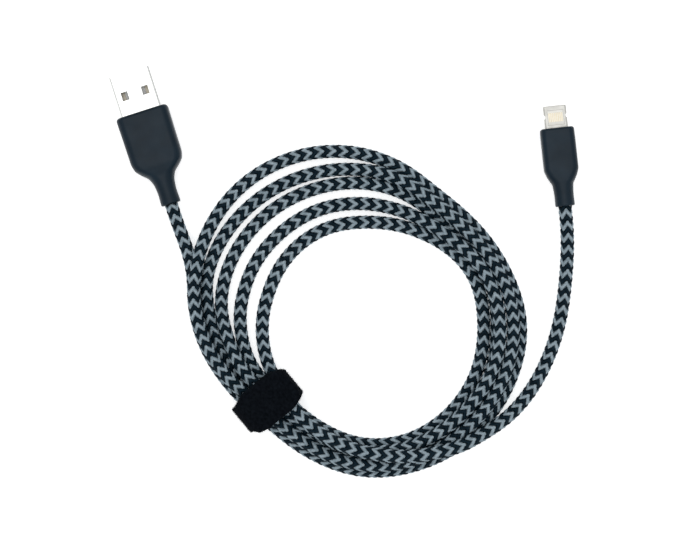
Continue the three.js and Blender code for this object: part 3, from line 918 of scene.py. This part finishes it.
def board_material():
    """Green solder mask over a faint pattern of tracks."""
    nodes = Nodes("circuit board")
    wave = nodes.add("ShaderNodeTexWave")
    wave.inputs["Scale"].default_value = 900.0
    wave.inputs["Distortion"].default_value = 3.0
    nodes.join(nodes.place(), wave.inputs["Vector"])
    nodes.colour(nodes.ramp(wave.outputs["Fac"], (0.010, 0.075, 0.035), (0.018, 0.12, 0.055)))
    nodes.set(Roughness=0.35)
    return nodes.material


def slot_materials():
    """One material for each slot of the record that CAD nodes show with."""
    nickel = ((0.73, 0.732, 0.712), (0.78, 0.782, 0.762), 0.16, 0.26)
    steel = ((0.50, 0.51, 0.52), (0.62, 0.63, 0.64), 0.30, 0.45)
    return {
        "nickel": metal_material("nickel plate", *nickel, grain=(1, 8, 1)),
        "steel": metal_material("plain steel", *steel, grain=(1, 10, 1)),
        "gold": metal_material("gold flash", (0.66, 0.59, 0.45), (0.73, 0.66, 0.52), 0.34, 0.46),
        "white_plastic": plastic_material("white insulator", (0.70, 0.70, 0.68), (0.80, 0.80, 0.78)),
        "inner_mould": plastic_material("inner moulding", (0.50, 0.52, 0.50), (0.60, 0.62, 0.60)),
        "board_green": board_material(),
        "chip_black": plastic_material("chip package", (0.010, 0.010, 0.012), (0.018, 0.018, 0.020)),
        "braid": yarn_material("cable end braid", (0.05, 0.06, 0.07), (0.12, 0.14, 0.16)),
        "strap_black": strap_material(),
        "soft_black": moulding_material(),
        "wire_red": plastic_material("red insulation", (0.45, 0.02, 0.02), (0.55, 0.03, 0.03)),
        "wire_white": plastic_material("white insulation", (0.70, 0.70, 0.70), (0.80, 0.80, 0.80)),
        "wire_green": plastic_material("green insulation", (0.02, 0.28, 0.06), (0.03, 0.36, 0.09)),
        "wire_black": plastic_material("black insulation", (0.010, 0.010, 0.010), (0.020, 0.020, 0.020)),
    }


def dress(piece, material):
    piece.data.materials.clear()
    piece.data.materials.append(material)


def finish_cad_nodes(materials):
    """Gives every CAD node a material, its slot's or, for the tip frame, the carrier and the type A contacts,
    its own, and a small bevel to the ones with crisp edges.
    """
    slots = {row["node"]: row["material_slot"] for row in frame["record"]["subparts"]}
    bevels_mm = {
        "type_a_shell": 0.06,
        "eight_pin_tip_frame": 0.08,
        "type_a_tongue": 0.08,
        "eight_pin_contact_carrier": 0.03,
    }
    contact_bevel_mm = 0.03
    cream = plastic_material("cream carrier", (0.86, 0.84, 0.77), (0.92, 0.90, 0.83))
    blasted = metal_material("blasted tip", (0.56, 0.55, 0.515), (0.63, 0.62, 0.585), 0.42, 0.55)
    # A darker gold for the type A plug's contacts than the one the gold slot gives the others.
    darker_gold = metal_material("darker gold flash", (0.27, 0.25, 0.21), (0.36, 0.33, 0.27), 0.35, 0.5)
    own_looks = {"eight_pin_contact_carrier": cream, "eight_pin_tip_frame": blasted}
    for name, node in frame["nodes"].items():
        look = own_looks.get(name, materials[slots[name]])
        if name.startswith("type_a_contact"):
            look = darker_gold
        dress(node, look)
        is_contact = "_contact_" in name and "carrier" not in name
        width = contact_bevel_mm if is_contact else bevels_mm.get(name)
        if width:
            bevel = node.modifiers.new("soft edges", "BEVEL")
            bevel.width = width * MM
            bevel.segments = 2
            bevel.limit_method = "ANGLE"
            bevel.angle_limit = math.radians(40)


# ---------------------------------------------------------------- floor and light


def add_stage():
    """A glowing white table, a studio that is dark at the horizon, and one large softbox overhead."""
    half = 3.0
    corners = [(-half, -half, 0), (half, -half, 0), (half, half, 0), (-half, half, 0)]
    floor = new_mesh("floor", corners, [(0, 1, 2, 3)], smooth=False)
    floor.location.z = -0.00002
    nodes = Nodes("white light table")
    nodes.colour(nodes.ramp(nodes.noise(30.0), (0.84, 0.84, 0.84), (0.86, 0.86, 0.86)))
    nodes.set(Roughness=0.9, Specular_IOR_Level=0.0)
    nodes.set(Emission_Color=(1.0, 1.0, 1.0, 1.0), Emission_Strength=0.55)
    dress(floor, nodes.material)
    world = bpy.data.worlds.new("studio")
    bpy.context.scene.world = world
    world.use_nodes = True
    tree = world.node_tree
    direction = tree.nodes.new("ShaderNodeTexCoord")
    height = tree.nodes.new("ShaderNodeSeparateXYZ")
    sky = tree.nodes.new("ShaderNodeValToRGB")
    sky.color_ramp.elements[0].color = (0.30, 0.31, 0.33, 1)
    sky.color_ramp.elements[1].color = (0.80, 0.81, 0.82, 1)
    sky.color_ramp.elements[1].position = 0.65
    tree.links.new(direction.outputs["Generated"], height.inputs["Vector"])
    tree.links.new(height.outputs["Z"], sky.inputs["Fac"])
    tree.links.new(sky.outputs["Color"], tree.nodes["Background"].inputs["Color"])
    light = bpy.data.lights.new("softbox", "AREA")
    light.size = 1.1
    light.energy = 4.6
    softbox = bpy.data.objects.new("softbox", light)
    bpy.context.scene.collection.objects.link(softbox)
    softbox.location = (-0.08, 0.08, 1.4)
    bpy.context.scene.view_settings.view_transform = "Standard"


# ---------------------------------------------------------------- the whole scene

add_camera()
route = cable_route()
jacket, centreline = jacket_piece(route)
grey_braid, black_braid = braid_pieces(route)
type_a_grip, eight_pin_grip = add_grips()
on_axis(TYPE_A, TYPE_A["outline"][-1][0])
for piece in (jacket, grey_braid, black_braid):
    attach(piece, "cable")
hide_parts("cable_coil", "cable_lead_type_a", "cable_lead_eight_pin")
band, tail = add_tie()

slot_looks = slot_materials()
finish_cad_nodes(slot_looks)
dress(jacket, jacket_material())
dress(grey_braid, yarn_material("grey yarn", (0.198, 0.256, 0.292), (0.345, 0.420, 0.465)))
dress(black_braid, yarn_material("black yarn", (0.0008, 0.0066, 0.012), (0.005, 0.016, 0.026)))
for piece in (type_a_grip, eight_pin_grip):
    dress(piece, slot_looks["soft_black"])
for piece in (band, tail):
    dress(piece, slot_looks["strap_black"])
add_stage()
